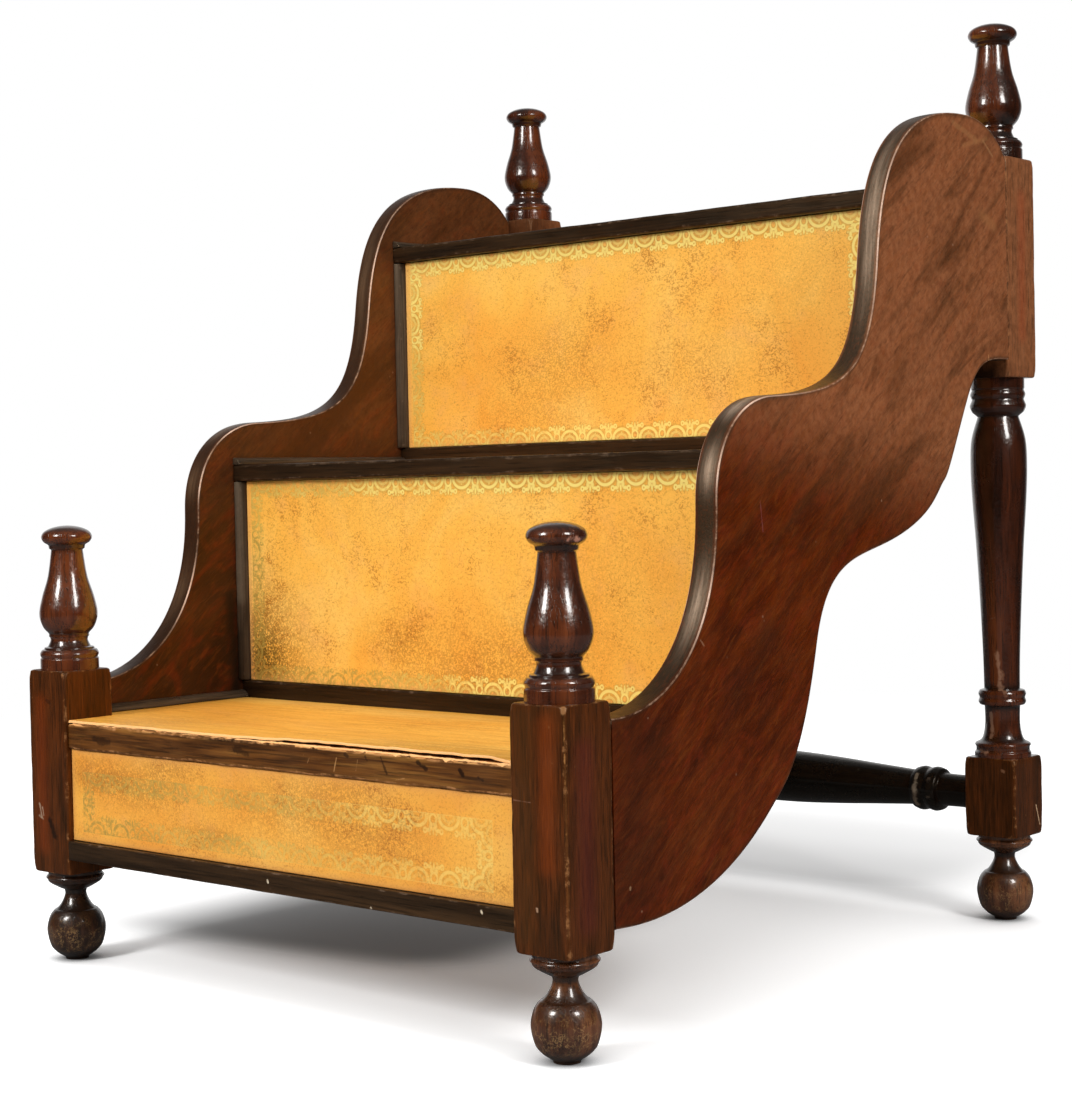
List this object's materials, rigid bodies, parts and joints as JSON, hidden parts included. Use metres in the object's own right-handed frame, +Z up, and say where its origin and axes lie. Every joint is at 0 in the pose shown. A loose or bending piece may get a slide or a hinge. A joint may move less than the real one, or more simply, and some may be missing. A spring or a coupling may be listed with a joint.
{
  "type": "library steps",
  "caption": "Free-standing wooden library steps with leather-faced treads and risers, ribbon-shaped sides, turned posts, ball feet and finials.",
  "frame": {"origin": "on the floor, in the middle between the four feet", "axes": "+X to the right seen from the front, +Y to the back, +Z up"},
  "size_m": [0.6, 0.658, 0.7974],
  "materials": {
    "mahogany": "french polished, red-brown, worn pale along the edges",
    "figured_mahogany": "french polished flame figure",
    "dark_mahogany": "dark polish",
    "worn_mahogany": "worn and scarred, little polish left",
    "tread_leather": "worn tan leather, streaked along its length",
    "riser_leather": "mottled tan leather with a worn gilt tooled border",
    "board_wood": "bare and dry"
  },
  "bodies": {
    "root": {"front_left_post": "mahogany", "front_left_foot": "mahogany", "front_left_finial": "mahogany", "rear_left_post": "mahogany", "rear_left_foot": "mahogany", "rear_left_finial": "mahogany", "left_side_panel": "figured_mahogany", "front_right_post": "mahogany", "front_right_foot": "mahogany", "front_right_finial": "mahogany", "rear_right_post": "mahogany", "rear_right_foot": "mahogany", "rear_right_finial": "mahogany", "right_side_panel": "figured_mahogany", "front_bottom_rail": "dark_mahogany", "back_rail": "mahogany", "rear_stretcher": "dark_mahogany", "low_tread_nosing": "worn_mahogany", "low_tread_board": "board_wood", "low_tread_leather": "tread_leather", "low_riser_board": "board_wood", "low_riser_leather": "riser_leather", "low_left_tread_bead": "dark_mahogany", "low_left_bearer": "board_wood", "low_left_glue_block": "board_wood", "low_right_tread_bead": "dark_mahogany", "low_right_bearer": "board_wood", "low_right_glue_block": "board_wood", "middle_tread_nosing": "dark_mahogany", "middle_tread_board": "board_wood", "middle_tread_leather": "tread_leather", "middle_riser_board": "board_wood", "middle_riser_leather": "riser_leather", "middle_riser_rail": "dark_mahogany", "middle_left_tread_bead": "dark_mahogany", "middle_left_corner_bead": "dark_mahogany", "middle_left_bearer": "board_wood", "middle_left_glue_block": "board_wood", "middle_right_tread_bead": "dark_mahogany", "middle_right_corner_bead": "dark_mahogany", "middle_right_bearer": "board_wood", "middle_right_glue_block": "board_wood", "top_tread_nosing": "dark_mahogany", "top_tread_board": "board_wood", "top_tread_leather": "tread_leather", "top_riser_board": "board_wood", "top_riser_leather": "riser_leather", "top_riser_rail": "dark_mahogany", "top_left_tread_bead": "dark_mahogany", "top_left_corner_bead": "dark_mahogany", "top_left_bearer": "board_wood", "top_left_glue_block": "board_wood", "top_right_tread_bead": "dark_mahogany", "top_right_corner_bead": "dark_mahogany", "top_right_bearer": "board_wood", "top_right_glue_block": "board_wood"}
  },
  "joints": []
}
